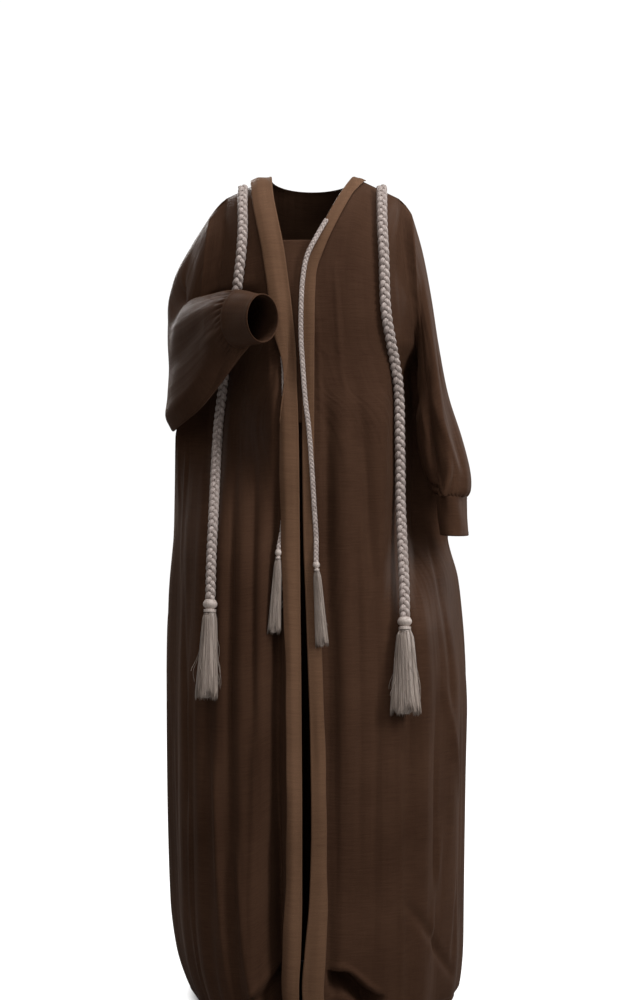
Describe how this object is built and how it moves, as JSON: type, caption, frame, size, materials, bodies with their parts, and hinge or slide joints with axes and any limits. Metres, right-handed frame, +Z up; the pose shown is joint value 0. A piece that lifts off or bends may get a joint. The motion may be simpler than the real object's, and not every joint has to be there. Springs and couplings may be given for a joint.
{
  "type": "abaya",
  "caption": "Open-fronted floor-length abaya as worn, with wide hollow body, full sleeves, turned-out front bands and cords with tassels.",
  "frame": {"origin": "on the middle line of the garment, level with the two neck points, where the wearer's shoulders carry it", "axes": "+Z up, the front faces -Y, the wearer's left is +X"},
  "size_m": [0.5287, 0.4505, 1.4189],
  "materials": {
    "crepe": "dark brown crepe with a soft satin sheen",
    "facing": "paler brown facing of the same cloth",
    "silk_cord": "warm pale grey plaited viscose cord",
    "silk_tassel": "warm pale grey viscose threads"
  },
  "bodies": {
    "root": {"front_right": "crepe", "front_left": "crepe", "back": "crepe", "sleeve_right": "crepe", "sleeve_left": "crepe", "cuff_right": "crepe", "cuff_left": "crepe", "band_right": "facing", "band_left": "facing", "underlap": "crepe", "side_right_cord": "silk_cord", "side_right_tassel": "silk_tassel", "side_left_cord": "silk_cord", "side_left_tassel": "silk_tassel", "front_right_cord": "silk_cord", "front_right_tassel": "silk_tassel", "front_left_cord": "silk_cord", "front_left_tassel": "silk_tassel"}
  },
  "joints": []
}
